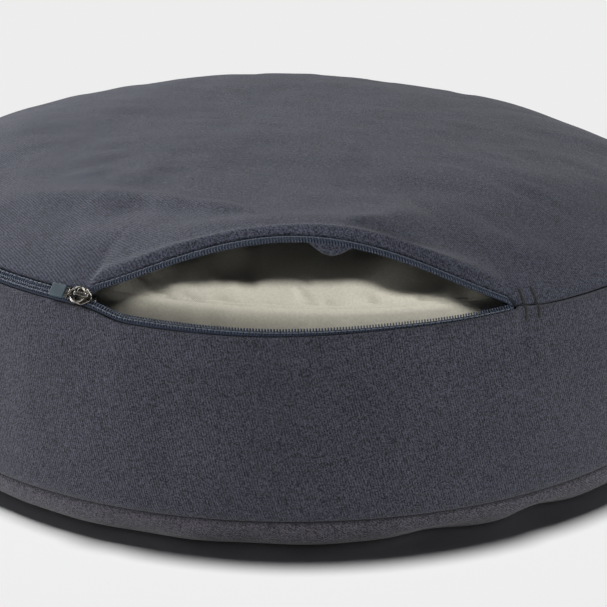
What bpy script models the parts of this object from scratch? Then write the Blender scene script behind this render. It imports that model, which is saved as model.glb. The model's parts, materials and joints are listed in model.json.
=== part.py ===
"""Round floor cushion with a zipped cover over a filled cotton liner.

Metres, +Z up, origin on the floor under the middle of the cushion, front towards -Y.
Angles round the cushion are measured from the front (-Y), positive towards +X.
The top seam lies in a plane that leans a little, because the filling sits higher on the left.
Beside the top seam a place is given by (angle, s, n): s runs across the seam, positive on the
top panel's side, and n points out of the seam, halfway between level and straight up.
"""

import math

import bmesh
import bpy
from mathutils import Matrix, Vector

MM = 0.001
WELD = 1e-6
SAME_PLACE = 1e-5

# Cover
TOP_SEAM_RADIUS = 192.0 * MM
BOTTOM_SEAM_RADIUS = 200.0 * MM
TOP_SEAM_HEIGHT = 104.0 * MM
BOTTOM_SEAM_HEIGHT = 15.0 * MM
TOP_LEAN = math.radians(1.95)
DOME_HEIGHT = 33.0 * MM
DOME_POWERS = (3.2, 0.75)
BAND_BULGE = 3.0 * MM
FABRIC = 1.2 * MM
FLANGE = 5.0 * MM
STITCH_DEPTH = 3.5 * MM
BAND_STITCH_DEPTH = 3.0 * MM
CURL_RADIUS = 12.0 * MM
SEGMENTS = 50
FACET = math.tau / SEGMENTS

# Liner and filling
LINER_RADIUS = 182.0 * MM
LINER_SEAM_RISE = 2.5 * MM
LINER_DOME = 24.0 * MM
LINER_FOOT_RADIUS = 188.0 * MM
LINER_FOOT_HEIGHT = 14.0 * MM
LINER_CURL_RADIUS = 14.0 * MM
LINER_CLOTH = 0.6 * MM
FILL_GAP = 1.5 * MM
FILL_REST = 4.2 * MM
FILL_FLAT_RADIUS = 170.0 * MM

# Zip
NORMAL_ELEVATION = math.radians(45)
ZIP_START = math.radians(-151.2)
MOUTH_HALF = math.radians(28.8)
COIL_END = math.radians(28.0)
RUN_JOIN = math.radians(0.1)
ZIP_SLACK = math.radians(0.5)
COIL_RADIUS = 1.1 * MM
COIL_OFFSET = 1.3 * MM
TAPE = 0.5 * MM
TAPE_TOP = -1.3 * MM
TAPE_INNER = 0.3 * MM
TAPE_LEG = 4.6 * MM
TAPE_DEPTH = -5.0 * MM
SEAM_GAP = 0.6 * MM
ZIP_EDGE = 5.6 * MM
THREAD_RADIUS = 0.2 * MM

# Open mouth: how far the middle of the upper lip stands back and up from the closed zip
LIP_BACK = 23.0 * MM
LIP_UP = 30.0 * MM
LIFT_REACH = 110.0 * MM
LIFT_FADE = 2.0
LIFT_RIM = 184.0 * MM
LIFT_SOFT_HALF = math.radians(41)
LIFT_SOFT_DEPTH = 25.0 * MM

# Bar tacks
TACK_RADIUS = 0.4 * MM
TACK_REACH = 6.5 * MM
TACK_STEPS = (math.radians(1.0), math.radians(2.7))

# Slider and pull, in the slider's own frame: x along the zip, y across it, z out of it
SLIDER_BACK = -2.7 * MM
SLIDER_FRONT = 5.0 * MM
SLIDER_NOSE = (5.6 * MM, 1.2 * MM)
SLIDER_SHOULDER = 3.9 * MM
SLIDER_TAIL = 3.6 * MM
TOP_PLATE = (1.5 * MM, 2.4 * MM)
BOTTOM_PLATE = (-3.2 * MM, -2.3 * MM)
SIDE_WALL = (3.0 * MM, 3.6 * MM)
SIDE_WALL_FOOT = -0.9 * MM
DIVIDER = ((2.9, 0.5), (4.2, 0.25), (4.8, 0.25), (4.8, 1.1), (3.4, 1.1))
SINK = 0.4 * MM
CROWN_REACH = (-2.5 * MM, 4.6 * MM)
CROWN_FOOT = 0.9 * MM
CROWN_HALF_WIDTH = 0.8 * MM
CROWN_TOP = 5.0 * MM
CROWN_BAR = 0.8 * MM
RING_RADIUS = 3.5 * MM
RING_WIRE = 0.5 * MM
RING_HEIGHT = 3.3 * MM
RING_UNDER_CROWN = 2.7 * MM
KNUCKLE_HOLE = 0.85 * MM
KNUCKLE_RADIUS = 1.3 * MM
KNUCKLE_HALF_WIDTH = 1.1 * MM
PLATE_HALF_WIDTH = 2.4 * MM
PLATE_LENGTH = 8.9 * MM
PLATE_THICKNESS = 0.9 * MM
SHOULDER_REACH = (-1.2 * MM, 0.5 * MM)
CUTTER_HALF = 1.0 * MM
GRIP_LENGTH = 7.4 * MM
GRIP_HALF_WIDTH = 2.9 * MM
GRIP_THICKNESS = 2.3 * MM
GRIP_END = -PLATE_LENGTH - 1.2 * MM
GRIP_CORNER = 0.9 * MM
GAP = 0.3 * MM


def clear_scene():
    for obj in list(bpy.data.objects):
        bpy.data.objects.remove(obj, do_unlink=True)


def material(name, colour, roughness, metallic=0.0):
    made = bpy.data.materials.new(name)
    made.use_nodes = True
    shader = made.node_tree.nodes["Principled BSDF"]
    shader.inputs["Base Color"].default_value = (*colour, 1.0)
    shader.inputs["Roughness"].default_value = roughness
    shader.inputs["Metallic"].default_value = metallic
    return made


clear_scene()
PARTS = bpy.data.collections.new("floor_cushion")
bpy.context.scene.collection.children.link(PARTS)

TWILL = material("slate_twill", (0.085, 0.088, 0.115), 0.95)
COTTON = material("natural_cotton", (0.70, 0.66, 0.55), 0.95)
FIBRE = material("fibre_filling", (0.85, 0.85, 0.83), 1.0)
TAPE_CLOTH = material("zip_tape", (0.045, 0.055, 0.085), 0.9)
COIL_NYLON = material("zip_coil", (0.07, 0.09, 0.14), 0.45)
NICKEL = material("dark_nickel", (0.45, 0.42, 0.38), 0.3, 1.0)
RUBBER = material("slate_rubber", (0.06, 0.09, 0.11), 0.5)
DARK_THREAD = material("dark_thread", (0.02, 0.02, 0.028), 0.8)
PALE_THREAD = material("pale_thread", (0.72, 0.68, 0.58), 0.8)


# Places ---------------------------------------------------------------------------------------


def empty(name, parent=None, location=(0, 0, 0), rotation=(0, 0, 0)):
    made = bpy.data.objects.new(name, None)
    PARTS.objects.link(made)
    made.parent = parent
    made.location = location
    made.rotation_euler = rotation
    return made


TOP_FRAME = empty("top_seam_plane", None, (0, 0, TOP_SEAM_HEIGHT), (0, TOP_LEAN, 0))


def round_about(angle, radius, z):
    return Vector((radius * math.sin(angle), -radius * math.cos(angle), z))


def beside_seam(angle, s, n):
    """A place near the closed top seam, in the top seam's plane frame."""
    across, out = math.sin(NORMAL_ELEVATION), math.cos(NORMAL_ELEVATION)
    return round_about(angle, TOP_SEAM_RADIUS + n * out - s * across, n * across + s * out)


def angle_of(point):
    return math.atan2(point.x, -point.y)


def smooth(share):
    share = min(max(share, 0.0), 1.0)
    return share * share * (3 - 2 * share)


def open_share(angle):
    """How far open the mouth's edge is at this angle, from 0 at its corners to 1 in its middle."""
    across = math.sin(min(abs(angle), MOUTH_HALF)) / math.sin(MOUTH_HALF)
    return math.cos(0.5 * math.pi * across)


def lip_share(angle):
    """The same, straight between the facets of the turned cloth, so that edges stay parallel."""
    low = math.floor(angle / FACET) * FACET
    mix = (angle - low) / FACET
    return (1 - mix) * open_share(low) + mix * open_share(low + FACET)


def lift(share):
    return Vector((0, LIP_BACK, LIP_UP)) * share


def panel_share(point):
    """How much of the lip's lift a point of the top panel takes."""
    angle = angle_of(point)
    inward = LIFT_RIM - math.hypot(point.x, point.y)
    soft = math.cos(0.5 * math.pi * min(abs(angle) / LIFT_SOFT_HALF, 1.0)) ** 2
    mix = smooth(inward / LIFT_SOFT_DEPTH)
    fade = (1 - min(max(inward / LIFT_REACH, 0.0), 1.0)) ** LIFT_FADE
    return fade * ((1 - mix) * lip_share(angle) + mix * soft)


def in_zip(angle):
    return ZIP_START - ZIP_SLACK < angle < MOUTH_HALF + ZIP_SLACK


def lean_with_height(point):
    """Leans a turned point as far as the top seam at the top, and not at all at the bottom seam."""
    span = TOP_SEAM_HEIGHT - BOTTOM_SEAM_HEIGHT
    share = min(max((point.z - BOTTOM_SEAM_HEIGHT) / span, 0.0), 1.0)
    pivot = Vector((0, 0, TOP_SEAM_HEIGHT))
    return pivot + Matrix.Rotation(TOP_LEAN * share, 3, "Y") @ (point - pivot)


# Making solids --------------------------------------------------------------------------------


def add(name, data, look, parent=None):
    made = bpy.data.objects.new(name, data)
    PARTS.objects.link(made)
    made.parent = parent
    data.materials.clear()
    data.materials.append(look)
    return made


def settled(obj):
    """The object's evaluated shape as a welded mesh; the object itself is removed."""
    bpy.context.view_layer.update()
    graph = bpy.context.evaluated_depsgraph_get()
    mesh = bpy.data.meshes.new_from_object(obj.evaluated_get(graph))
    mesh.transform(obj.matrix_local)
    bpy.data.objects.remove(obj, do_unlink=True)
    work = bmesh.new()
    work.from_mesh(mesh)
    bmesh.ops.remove_doubles(work, verts=work.verts, dist=WELD)
    work.to_mesh(mesh)
    work.free()
    return mesh


def turned(profile, start, arc, steps):
    """A mesh turned from (radius, z) points that run from the top's middle, down the outer side."""
    line = bpy.data.meshes.new("profile")
    edges = [(i, i + 1) for i in range(len(profile) - 1)]
    line.from_pydata([(r, 0, z) for r, z in profile], edges, [])
    obj = bpy.data.objects.new("profile", line)
    PARTS.objects.link(obj)
    screw = obj.modifiers.new("turn", "SCREW")
    screw.angle = arc
    screw.steps = steps
    screw.render_steps = steps
    screw.use_merge_vertices = True
    screw.merge_threshold = WELD
    mesh = settled(obj)
    mesh.transform(Matrix.Rotation(start - math.pi / 2, 4, "Z"))
    return mesh


def sheet(name, profile, thickness, look, parent=None, rule=None, turn=(0.0, math.tau, SEGMENTS)):
    """A turned sheet of cloth that lies inside its profile; rule moves each of its points, and
    turn is the angle it starts at, how far it goes round, and in how many steps."""
    mesh = turned(profile, *turn)
    if rule:
        for vertex in mesh.vertices:
            vertex.co = rule(vertex.co.copy())
    made = add(name, mesh, look, parent)
    thicken = made.modifiers.new("cloth", "SOLIDIFY")
    thicken.thickness = thickness
    thicken.offset = -1
    thicken.use_even_offset = True
    mesh.shade_smooth()
    return made


def wire(name, points, radius, look, parent=None, cyclic=False, sides=1):
    curve = bpy.data.curves.new(name, "CURVE")
    curve.dimensions = "3D"
    curve.bevel_depth = radius
    curve.bevel_resolution = sides
    curve.use_fill_caps = True
    spline = curve.splines.new("POLY")
    spline.points.add(len(points) - 1)
    for slot, point in zip(spline.points, points):
        slot.co = (*point, 1)
    spline.use_cyclic_u = cyclic
    return add(name, curve, look, parent)


def flat_solid(name, outline, low, high, look, parent=None, plane="XY"):
    """A flat outline given thickness; plane XZ stands the outline on edge, with low and high along Y."""
    curve = bpy.data.curves.new(name, "CURVE")
    curve.dimensions = "2D"
    curve.fill_mode = "BOTH"
    curve.extrude = (high - low) / 2
    spline = curve.splines.new("POLY")
    spline.points.add(len(outline) - 1)
    for slot, (x, y) in zip(spline.points, outline):
        slot.co = (x, y, 0, 1)
    spline.use_cyclic_u = True
    obj = add(name, curve, look, None)
    middle = (low + high) / 2
    if plane == "XY":
        obj.location = (0, 0, middle)
    else:
        obj.location = (0, middle, 0)
        obj.rotation_euler = (math.pi / 2, 0, 0)
    mesh = settled(obj)
    mesh.name = name
    return add(name, mesh, look, parent)


def block(x, y, z):
    """Corners of a box as a rectangle outline and its two heights."""
    return [(x[0], y[0]), (x[1], y[0]), (x[1], y[1]), (x[0], y[1])], z[0], z[1]


def cylinder_mesh(radius, half_length, sides):
    work = bmesh.new()
    bmesh.ops.create_cone(
        work, cap_ends=True, segments=sides, radius1=radius, radius2=radius, depth=2 * half_length
    )
    bmesh.ops.rotate(work, verts=work.verts, matrix=Matrix.Rotation(math.pi / 2, 3, "X"))
    mesh = bpy.data.meshes.new("cylinder")
    work.to_mesh(mesh)
    work.free()
    return mesh


def combined(name, base, others, operation, look, parent=None):
    """base united with the others, or cut by them, as one new object; all of them are used up."""
    for other in others:
        boolean = base.modifiers.new("join", "BOOLEAN")
        boolean.operation = operation
        boolean.object = other
        boolean.solver = "EXACT"
        mesh = settled(base)
        bpy.data.objects.remove(other, do_unlink=True)
        base = add(name, mesh, look, None)
    base.name = name
    base.parent = parent
    return base


def facet_angles(start, end):
    """The two angles and every facet's edge between them."""
    first, last = math.ceil(start / FACET + 0.01), math.floor(end / FACET - 0.01)
    return [start] + [i * FACET for i in range(first, last + 1)] + [end]


# Cover ----------------------------------------------------------------------------------------


def dome(radius, rim, height):
    return height * (1 - (radius / rim) ** DOME_POWERS[0]) ** DOME_POWERS[1]


def local_rz(s, n):
    """(radius, z) of a place beside the top seam."""
    point = beside_seam(0.0, s, n)
    return -point.y, point.z


TOP_PROFILE_RADII = [0, 40, 80, 110, 130, 146, 160, 171, 179, 184.5]


def cover_top_panel():
    profile = [(r * MM, dome(r * MM, TOP_SEAM_RADIUS, DOME_HEIGHT)) for r in TOP_PROFILE_RADII]
    edge = [local_rz(SEAM_GAP, 0), local_rz(SEAM_GAP, -FLANGE)]

    def rule(point):
        radius = math.hypot(point.x, point.y)
        angle = angle_of(point)
        if in_zip(angle) and any(math.dist((radius, point.z), place) < SAME_PLACE for place in edge):
            point += beside_seam(angle, ZIP_EDGE, 0) - beside_seam(angle, SEAM_GAP, 0)
        return point + lift(panel_share(point))

    sheet("cover_top_panel", profile + edge, FABRIC, TWILL, TOP_FRAME, rule)


def band_radius(height_share):
    """Outer radius of the band, from the bottom seam at 0 to the top seam at 1."""
    straight = BOTTOM_SEAM_RADIUS + (TOP_SEAM_RADIUS - BOTTOM_SEAM_RADIUS) * height_share
    return straight + BAND_BULGE * math.sin(math.pi * height_share) ** 0.5


def cover_side_band():
    top = [local_rz(-SEAM_GAP, -FLANGE), local_rz(-SEAM_GAP, 0)]
    top = [(r, z + TOP_SEAM_HEIGHT) for r, z in top]
    span = TOP_SEAM_HEIGHT - BOTTOM_SEAM_HEIGHT
    middle = [(band_radius(t), BOTTOM_SEAM_HEIGHT + span * t) for t in (0.88, 0.7, 0.5, 0.3, 0.1)]
    foot = BOTTOM_SEAM_HEIGHT + SEAM_GAP
    bottom = [(BOTTOM_SEAM_RADIUS, foot), (BOTTOM_SEAM_RADIUS - FLANGE, foot)]

    def rule(point):
        radius = math.hypot(point.x, point.y)
        angle = angle_of(point)
        if in_zip(angle) and any(math.dist((radius, point.z), place) < SAME_PLACE for place in top):
            point += beside_seam(angle, -ZIP_EDGE, 0) - beside_seam(angle, -SEAM_GAP, 0)
        return lean_with_height(point)

    sheet("cover_side_band", top + middle + bottom, FABRIC, TWILL, None, rule)


def cover_bottom_panel():
    foot = BOTTOM_SEAM_HEIGHT - SEAM_GAP
    rim = BOTTOM_SEAM_RADIUS
    profile = [(rim - FLANGE, foot), (rim, foot)]
    for turn in (20, 45, 70, 90):
        angle = math.radians(turn)
        in_by = CURL_RADIUS * (1 - math.cos(angle))
        profile.append((rim - in_by, foot - foot * math.sin(angle)))
    profile += [(rim / 2, 0), (0, 0)]
    sheet("cover_bottom_panel", profile, FABRIC, TWILL)


# Liner and filling ----------------------------------------------------------------------------


def liner_dome(radius):
    return LINER_SEAM_RISE + dome(radius, LINER_RADIUS, LINER_DOME)


def liner_top_panel():
    profile = [(r * MM, liner_dome(r * MM)) for r in (0, 60, 105, 135, 156, 170, 178)]
    rise = LINER_SEAM_RISE + SEAM_GAP
    profile += [(LINER_RADIUS, rise), (LINER_RADIUS - FLANGE, rise)]
    sheet("liner_top_panel", profile, LINER_CLOTH, COTTON, TOP_FRAME)


def liner_side_band():
    top = TOP_SEAM_HEIGHT + LINER_SEAM_RISE - SEAM_GAP
    foot = LINER_FOOT_HEIGHT + SEAM_GAP
    profile = [(LINER_RADIUS - FLANGE, top), (LINER_RADIUS, top)]
    for share in (0.85, 0.5, 0.15):
        straight = LINER_FOOT_RADIUS + (LINER_RADIUS - LINER_FOOT_RADIUS) * share
        profile.append((straight + BAND_BULGE * math.sin(math.pi * share), foot + (top - foot) * share))
    profile += [(LINER_FOOT_RADIUS, foot), (LINER_FOOT_RADIUS - FLANGE, foot)]
    sheet("liner_side_band", profile, LINER_CLOTH, COTTON, None, lean_with_height)


def liner_bottom_panel():
    foot = LINER_FOOT_HEIGHT - SEAM_GAP
    rest = FABRIC + GAP
    rim = LINER_FOOT_RADIUS
    profile = [(rim - FLANGE, foot), (rim, foot)]
    for turn in (30, 60, 90):
        angle = math.radians(turn)
        in_by = LINER_CURL_RADIUS * (1 - math.cos(angle))
        profile.append((rim - in_by, foot - (foot - rest) * math.sin(angle)))
    profile += [(rim / 2, rest), (0, rest)]
    sheet("liner_bottom_panel", profile, LINER_CLOTH, COTTON)


def fill_core():
    """The filling as one plain solid that clears the liner's cloth and its seam allowances."""
    inner = LINER_RADIUS - FLANGE - FILL_GAP
    foot_inner = LINER_FOOT_RADIUS - FLANGE - FILL_GAP
    belly = LINER_FOOT_RADIUS - 3 * MM
    seam = TOP_SEAM_HEIGHT + LINER_SEAM_RISE
    under = TOP_SEAM_HEIGHT - FILL_GAP - LINER_CLOTH
    profile = [(r * MM, under + liner_dome(r * MM)) for r in (0, 70, 115, 145, 163)]
    profile += [(inner, seam + 2 * MM), (inner, seam - 4 * MM), (LINER_RADIUS - 2.5 * MM, seam - 9 * MM)]
    profile += [(belly, 60 * MM), (belly, 22 * MM), (foot_inner, 18 * MM), (foot_inner, 12 * MM)]
    profile += [(FILL_FLAT_RADIUS, FILL_REST), (0, FILL_REST)]
    mesh = turned(profile, 0, math.tau, SEGMENTS)
    for vertex in mesh.vertices:
        vertex.co = lean_with_height(vertex.co.copy())
    add("fill_core", mesh, FIBRE)
    mesh.shade_smooth()


# Zip ------------------------------------------------------------------------------------------


def tape_profile(side):
    """Outer line of a tape's section: flat beside the coil, then down into the seam allowance."""
    flat = [local_rz(side * TAPE_INNER, TAPE_TOP), local_rz(side * TAPE_LEG, TAPE_TOP)]
    leg = [local_rz(side * TAPE_LEG, TAPE_DEPTH)]
    return flat + leg if side < 0 else leg + flat[::-1]


def zip_run(label, side, start, end, coil_end, opened):
    """Tape, coil and sewing thread of one side of the zip, between two angles."""

    def rule(point):
        return point + lift(lip_share(angle_of(point))) if opened else point

    def line(s, n, last):
        return [rule(beside_seam(angle, s, n)) for angle in facet_angles(start, last)]

    turn = (start, end - start, round((end - start) / FACET))
    sheet("zip_tape_" + label, tape_profile(side), TAPE, TAPE_CLOTH, TOP_FRAME, rule, turn)
    coil = line(side * COIL_OFFSET, 0, coil_end)
    wire("zip_coil_" + label, coil, COIL_RADIUS, COIL_NYLON, TOP_FRAME)
    stitch = line(side * (TAPE_LEG + ZIP_EDGE) / 2, -STITCH_DEPTH, coil_end)
    wire("zip_thread_" + label, stitch, THREAD_RADIUS, DARK_THREAD, TOP_FRAME, sides=0)


def zip_chain():
    zip_run("lower", -1, ZIP_START, MOUTH_HALF, COIL_END, False)
    zip_run("upper_closed", 1, ZIP_START, -MOUTH_HALF - RUN_JOIN, -MOUTH_HALF - RUN_JOIN, False)
    zip_run("upper_mouth", 1, -MOUTH_HALF + RUN_JOIN, MOUTH_HALF, COIL_END, True)


def bar_tacks():
    """Short thread bars that bind both fabric edges together just past each end of the zip."""
    section = [(1, 1.0), (0.5, 1.15), (0, 1.2), (-0.5, 1.1), (-1, 0.6)]
    ends = [("right", MOUTH_HALF, 1), ("left", ZIP_START, -1)]
    for name, end, way in ends:
        for place, step in zip(("inner", "outer"), TACK_STEPS):
            angle = end + way * step
            line = [beside_seam(angle, share * TACK_REACH, n * MM) for share, n in section]
            wire(f"bar_tack_{name}_{place}", line, TACK_RADIUS, DARK_THREAD, TOP_FRAME)


# Seam threads ---------------------------------------------------------------------------------


def ring_points(radius, z, start=0.0, end=None):
    if end is None:
        return [round_about(i * FACET, radius, z) for i in range(SEGMENTS)]
    return [round_about(angle, radius, z) for angle in facet_angles(start, end)]


def seam_threads():
    """The sewing thread of each seam, lying between the two allowances that it holds together."""
    plain_start = MOUTH_HALF + 2 * FACET
    plain_end = ZIP_START + math.tau - 2 * FACET
    radius, z = local_rz(0, -STITCH_DEPTH)
    line = ring_points(radius, z, plain_start, plain_end)
    wire("cover_top_seam_thread", line, THREAD_RADIUS, DARK_THREAD, TOP_FRAME, sides=0)
    line = ring_points(BOTTOM_SEAM_RADIUS - BAND_STITCH_DEPTH, BOTTOM_SEAM_HEIGHT)
    wire("cover_bottom_seam_thread", line, THREAD_RADIUS, DARK_THREAD, cyclic=True, sides=0)
    line = ring_points(LINER_RADIUS - BAND_STITCH_DEPTH, LINER_SEAM_RISE)
    wire("liner_top_seam_thread", line, THREAD_RADIUS, PALE_THREAD, TOP_FRAME, True, 0)
    line = ring_points(LINER_FOOT_RADIUS - BAND_STITCH_DEPTH, LINER_FOOT_HEIGHT)
    wire("liner_bottom_seam_thread", line, THREAD_RADIUS, PALE_THREAD, cyclic=True, sides=0)


# Slider and pull ------------------------------------------------------------------------------


def both_sides(half):
    """A closed outline from the points of its +y half, which run along x."""
    return [(x, -y) for x, y in half] + half[::-1]


def slider_body(seat):
    """Two plates joined at the throat by the divider, with walls that keep the closed coils in."""
    tail, shoulder = SLIDER_TAIL, SLIDER_SHOULDER
    back, nose = SLIDER_BACK, SLIDER_FRONT
    start = [(back, tail - 0.8 * MM), (back + 0.8 * MM, tail)]
    wide = start + [(0, tail), (1.2 * MM, shoulder), (2.4 * MM, shoulder - 0.2 * MM), SLIDER_NOSE]
    narrow = start + [(nose - 1 * MM, tail), (nose, tail - 1.5 * MM)]
    name = "zip_slider_body"
    top = flat_solid("top_plate", both_sides(wide), *TOP_PLATE, NICKEL)
    bottom = flat_solid("bottom_plate", both_sides(narrow), *BOTTOM_PLATE, NICKEL)
    divider = [(x * MM, y * MM) for x, y in DIVIDER]
    post = flat_solid("divider", divider, BOTTOM_PLATE[1] - SINK, TOP_PLATE[0] + SINK, NICKEL)
    walls = []
    for side in (-1, 1):
        across = sorted((side * SIDE_WALL[0], side * (SIDE_WALL[1] - 0.05 * MM)))
        box = block((back + 0.6 * MM, -0.1 * MM), across, (SIDE_WALL_FOOT, TOP_PLATE[0] + SINK))
        walls.append(flat_solid("wall", *box, NICKEL))
    lower_half = combined("lower_half", bottom, [post], "UNION", NICKEL)
    combined(name, top, [lower_half] + walls, "UNION", NICKEL, seat)


def slider_crown(seat):
    """The bridge over the top plate that the pull ring goes through."""
    low, high = TOP_PLATE[1] + GAP, CROWN_TOP
    back, front = CROWN_REACH
    under = high - CROWN_BAR
    outline = [(back, low), (back + CROWN_FOOT, low), (back + CROWN_FOOT, under)]
    outline += [(front - CROWN_FOOT, under), (front - CROWN_FOOT, low)]
    outline += [(front, low), (front, high - 1 * MM), (front - 1 * MM, high)]
    outline += [(back + 1 * MM, high), (back, high - 1 * MM)]
    flat_solid("zip_slider_crown", outline, -CROWN_HALF_WIDTH, CROWN_HALF_WIDTH, NICKEL, seat, "XZ")


def pull_ring(hinge):
    """A wire ring that lies back over the closed zip from where it passes under the crown."""
    bpy.ops.mesh.primitive_torus_add(
        major_radius=RING_RADIUS, minor_radius=RING_WIRE, major_segments=24, minor_segments=8
    )
    ring = bpy.context.object
    mesh = ring.data
    bpy.data.objects.remove(ring, do_unlink=True)
    mesh.transform(Matrix.Translation((-RING_RADIUS, 0, 0)))
    mesh.name = "pull_ring"
    add("pull_ring", mesh, NICKEL, hinge)
    mesh.shade_smooth()


def pull_tab(hinge):
    """A plate whose rolled end holds the ring, and the soft grip moulded on its far half."""
    half_thick, half_wide = PLATE_THICKNESS / 2, PLATE_HALF_WIDTH
    neck = -KNUCKLE_RADIUS + 0.35 * MM
    box = block((-PLATE_LENGTH, neck), (-half_wide, half_wide), (-half_thick, half_thick))
    plate = flat_solid("plate", *box, NICKEL)
    left = plate_cutter("left_shoulder", SHOULDER_REACH, -half_wide - GAP, -KNUCKLE_HALF_WIDTH)
    right = plate_cutter("right_shoulder", SHOULDER_REACH, KNUCKLE_HALF_WIDTH, half_wide + GAP)
    plate = combined("plate", plate, [left, right], "DIFFERENCE", NICKEL)
    roll = add("roll", cylinder_mesh(KNUCKLE_RADIUS, KNUCKLE_HALF_WIDTH, 16), NICKEL)
    bore = add("bore", cylinder_mesh(KNUCKLE_HOLE, 2 * KNUCKLE_HALF_WIDTH, 16), NICKEL)
    roll = combined("roll", roll, [bore], "DIFFERENCE", NICKEL)
    combined("pull_tab_plate", plate, [roll], "UNION", NICKEL, hinge)
    pocket_box = block(
        (-PLATE_LENGTH - GAP, GRIP_END + GRIP_LENGTH + GAP),
        (-half_wide - GAP, half_wide + GAP),
        (-half_thick - GAP, half_thick + GAP),
    )
    pocket = flat_solid("pocket", *pocket_box, RUBBER)
    combined("pull_tab_grip", grip_solid(), [pocket], "DIFFERENCE", RUBBER, hinge)


def plate_cutter(name, reach, low, high):
    """A block that goes right through the tab's plate; the shoulders' give the ring room."""
    return flat_solid(name, *block(reach, (low, high), (-CUTTER_HALF, CUTTER_HALF)), NICKEL)


def grip_solid():
    back, front, half = GRIP_END, GRIP_END + GRIP_LENGTH, GRIP_HALF_WIDTH
    corner = GRIP_CORNER
    outline = [(back, -half + corner), (back + corner, -half), (front - corner / 2, -half)]
    outline += [(front, -half + corner / 2)]
    outline += [(x, -y) for x, y in outline[::-1]]
    return flat_solid("grip", outline, -GRIP_THICKNESS / 2, GRIP_THICKNESS / 2, RUBBER)


def slider_and_pull():
    run = empty("slider_run_axis", TOP_FRAME, rotation=(0, 0, -MOUTH_HALF))
    seat = empty("slider_seat", run, (0, -TOP_SEAM_RADIUS, 0), (NORMAL_ELEVATION, 0, 0))
    slider_body(seat)
    slider_crown(seat)
    ring_hinge = empty("ring_swing_axis", seat, (RING_UNDER_CROWN, 0, RING_HEIGHT))
    pull_ring(ring_hinge)
    tab_hinge = empty("tab_swing_axis", ring_hinge, (-2 * RING_RADIUS, 0, 0))
    pull_tab(tab_hinge)


cover_top_panel()
cover_side_band()
cover_bottom_panel()
liner_top_panel()
liner_side_band()
liner_bottom_panel()
fill_core()
zip_chain()
bar_tacks()
seam_threads()
slider_and_pull()
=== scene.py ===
"""Looks for the round floor cushion: sewn twill cover, coil zip with an open mouth, cotton liner.

Everything is in metres in the model's frame: origin on the floor, +Z up, front towards -Y.
Angles round the cushion run from the front, positive towards +X. Beside the top seam a place is
(angle, s, n): s runs across the seam, positive on the top panel's side, and n points out of it.
Shapes beside the seam are made as if the zip were closed, and the lip's lift is added to them.
"""

import math

import bpy
import numpy as np
from mathutils.bvhtree import BVHTree
from mathutils import Matrix, Vector
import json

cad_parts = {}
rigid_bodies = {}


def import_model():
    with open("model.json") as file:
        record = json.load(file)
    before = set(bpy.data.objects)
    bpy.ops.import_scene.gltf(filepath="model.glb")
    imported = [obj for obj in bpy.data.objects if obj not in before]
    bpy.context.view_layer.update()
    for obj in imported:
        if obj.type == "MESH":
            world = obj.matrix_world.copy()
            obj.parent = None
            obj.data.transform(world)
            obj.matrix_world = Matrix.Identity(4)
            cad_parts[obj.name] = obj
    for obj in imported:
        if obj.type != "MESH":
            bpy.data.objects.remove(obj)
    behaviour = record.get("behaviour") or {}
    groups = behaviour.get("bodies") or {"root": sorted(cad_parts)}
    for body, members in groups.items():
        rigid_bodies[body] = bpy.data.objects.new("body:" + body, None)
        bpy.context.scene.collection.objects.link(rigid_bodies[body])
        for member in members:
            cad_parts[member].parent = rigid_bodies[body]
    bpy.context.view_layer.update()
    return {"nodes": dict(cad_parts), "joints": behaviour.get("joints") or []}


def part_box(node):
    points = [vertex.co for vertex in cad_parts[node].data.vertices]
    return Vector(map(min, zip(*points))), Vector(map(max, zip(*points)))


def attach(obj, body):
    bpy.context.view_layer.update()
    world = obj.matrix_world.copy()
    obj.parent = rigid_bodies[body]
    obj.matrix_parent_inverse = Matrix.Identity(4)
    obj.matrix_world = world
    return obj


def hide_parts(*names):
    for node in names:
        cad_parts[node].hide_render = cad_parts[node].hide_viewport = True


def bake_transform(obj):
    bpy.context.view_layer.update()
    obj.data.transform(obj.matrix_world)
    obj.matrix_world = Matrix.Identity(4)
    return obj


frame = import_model()

MM = 0.001
JOINTS = {joint["name"]: joint for joint in frame["joints"]}

# Driving dimensions, as the solids have them
TOP_SEAM_RADIUS = 192.0 * MM
DOME_HEIGHT = 33.0 * MM
DOME_POWERS = (3.2, 0.75)
BAND_BULGE = 3.0 * MM
NORMAL_SIN = math.sqrt(0.5)
ZIP_START = math.radians(-151.2)
MOUTH_HALF = math.radians(28.8)
COIL_END = math.radians(28.2)
LIFT_REACH = 110.0 * MM
LIFT_FADE = 2.0
LIFT_RIM = 184.0 * MM
LIFT_SOFT_HALF = math.radians(41)
LIFT_SOFT_DEPTH = 25.0 * MM
LINER_RADIUS = 182.0 * MM
LINER_SEAM_RISE = 2.5 * MM
LINER_DOME = 24.0 * MM

# From the frame
SEAM_CENTRE = Vector(JOINTS["slider_run"]["pos_m"])
SEAM_AXIS = Vector(JOINTS["slider_run"]["axis"]).normalized()
LEAN = math.atan2(SEAM_AXIS.x, SEAM_AXIS.z)
TOP_FRAME = Matrix.Translation(SEAM_CENTRE) @ Matrix.Rotation(LEAN, 4, "Y")
LIP = JOINTS["lip_close"]
LIFT_WORLD = -Vector(LIP["axis"]) * abs(LIP["range_m"][1]) * 0.99873
LIFT = np.array(TOP_FRAME.to_3x3().inverted() @ LIFT_WORLD)
BOTTOM_SEAM_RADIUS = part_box("cover_bottom_panel")[1].x
BOTTOM_SEAM_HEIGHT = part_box("cover_bottom_panel")[1].z + 0.6 * MM
LINER_FOOT_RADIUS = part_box("liner_bottom_panel")[1].x
LINER_FOOT_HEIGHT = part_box("liner_bottom_panel")[1].z + 0.6 * MM

# Cloth detail
FABRIC = 1.0 * MM
ROLL = 1.7 * MM
ZIP_EDGE = 3.05 * MM
PLAIN_EDGE = 0.3 * MM
ALLOWANCE = 5.0 * MM
AROUND = 720


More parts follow.
